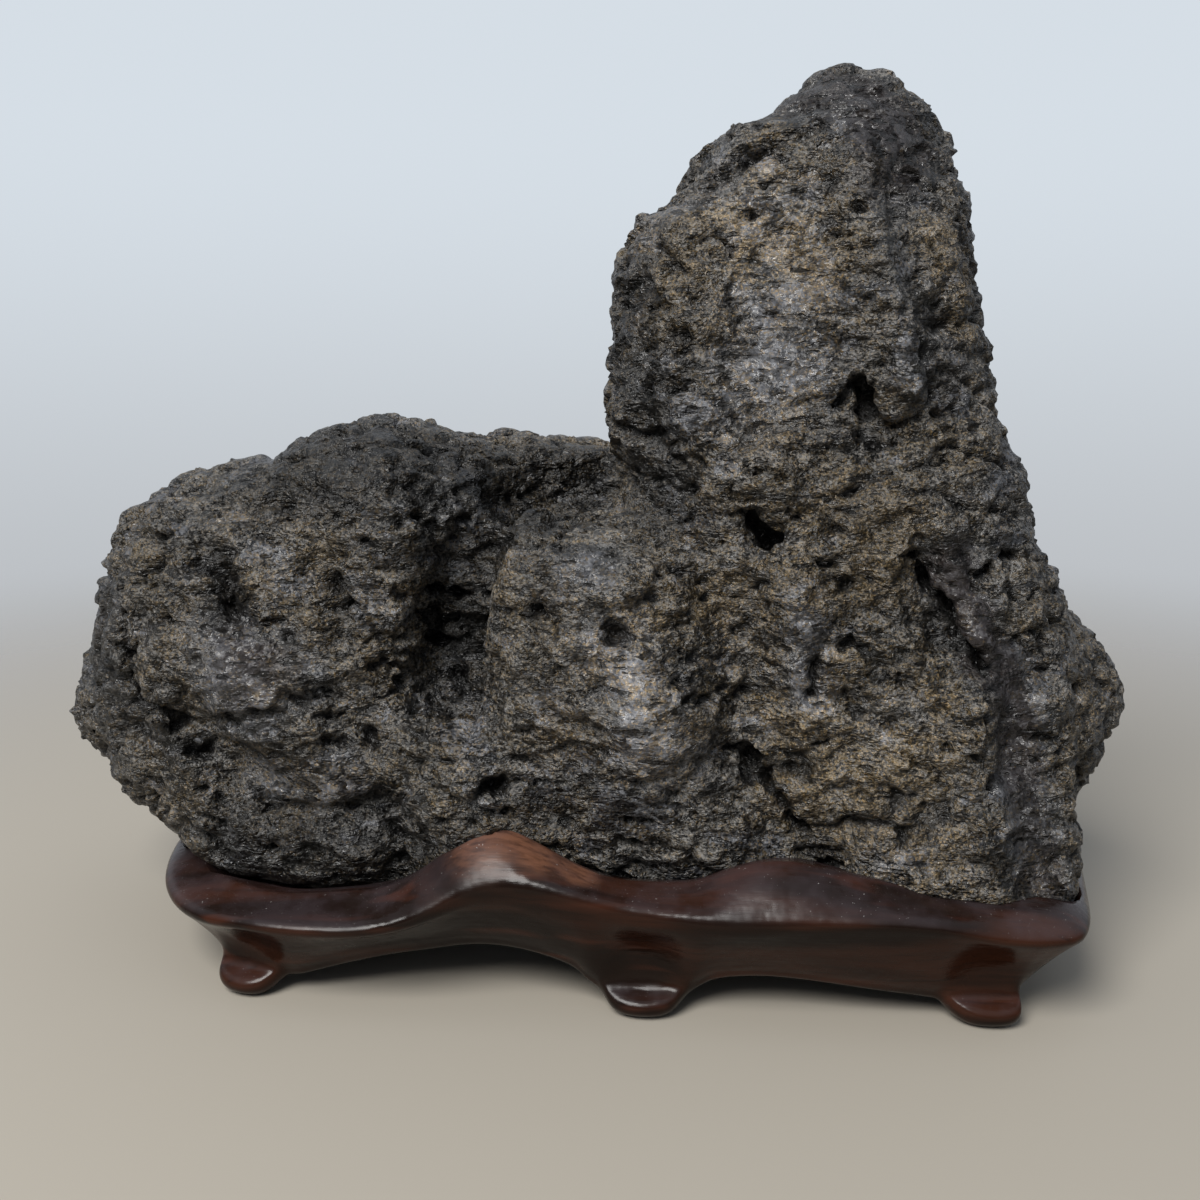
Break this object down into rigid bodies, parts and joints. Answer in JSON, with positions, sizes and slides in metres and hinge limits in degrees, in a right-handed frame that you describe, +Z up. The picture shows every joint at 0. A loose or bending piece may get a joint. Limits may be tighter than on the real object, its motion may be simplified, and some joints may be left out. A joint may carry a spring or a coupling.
{
  "type": "scholar's rock on a carved wood stand",
  "caption": "Dark craggy viewing stone, a tall tower beside a rounded boulder, resting in the fitted seat of a low carved hardwood stand with flared toes.",
  "frame": {"origin": "on the surface the feet stand on, under the middle of the whole object's box", "axes": "+X along the stand towards the tower, +Y from the front to the back, +Z up"},
  "size_m": [0.2548, 0.1122, 0.2024],
  "materials": {
    "stone": "rough and dry, charcoal black with ochre dust in the hollows",
    "wood": "smooth dark red-brown lacquered hardwood"
  },
  "bodies": {
    "root": {"rock": "stone", "stand": "wood"}
  },
  "joints": []
}
